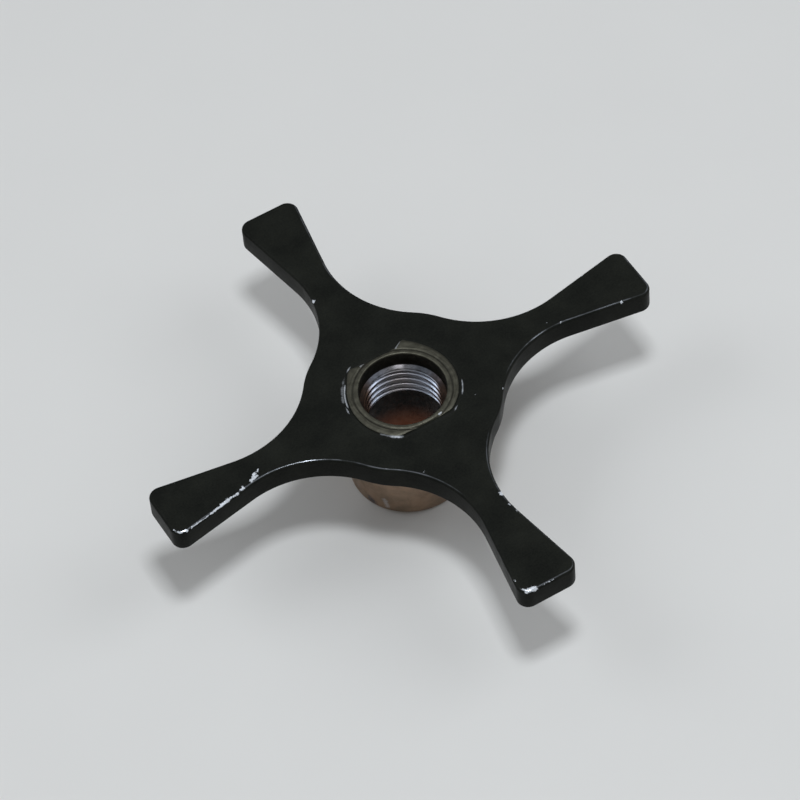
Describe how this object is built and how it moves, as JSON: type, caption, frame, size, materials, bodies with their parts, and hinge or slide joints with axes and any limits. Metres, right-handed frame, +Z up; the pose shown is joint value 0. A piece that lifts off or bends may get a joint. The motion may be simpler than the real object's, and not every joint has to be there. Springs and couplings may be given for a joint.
{
  "type": "wing nut",
  "caption": "Hand nut with a flat star-shaped steel grip of flared arms, staked onto a bare steel hub with a threaded bore, for tightening by hand.",
  "frame": {"origin": "centre of the hub's lower end, on the thread axis", "axes": "+Z up the thread axis towards the star plate; the four arms lie along X and Y; the hub's two flats are parallel to X"},
  "size_m": [0.0826, 0.0826, 0.0191],
  "materials": {
    "black_paint": "satin black paint, chipped to bare metal along the edges",
    "bare_steel": "turned steel, dulled to a warm grey, bright on the thread"
  },
  "bodies": {
    "root": {"star_plate": "black_paint", "threaded_hub": "bare_steel"}
  },
  "joints": []
}
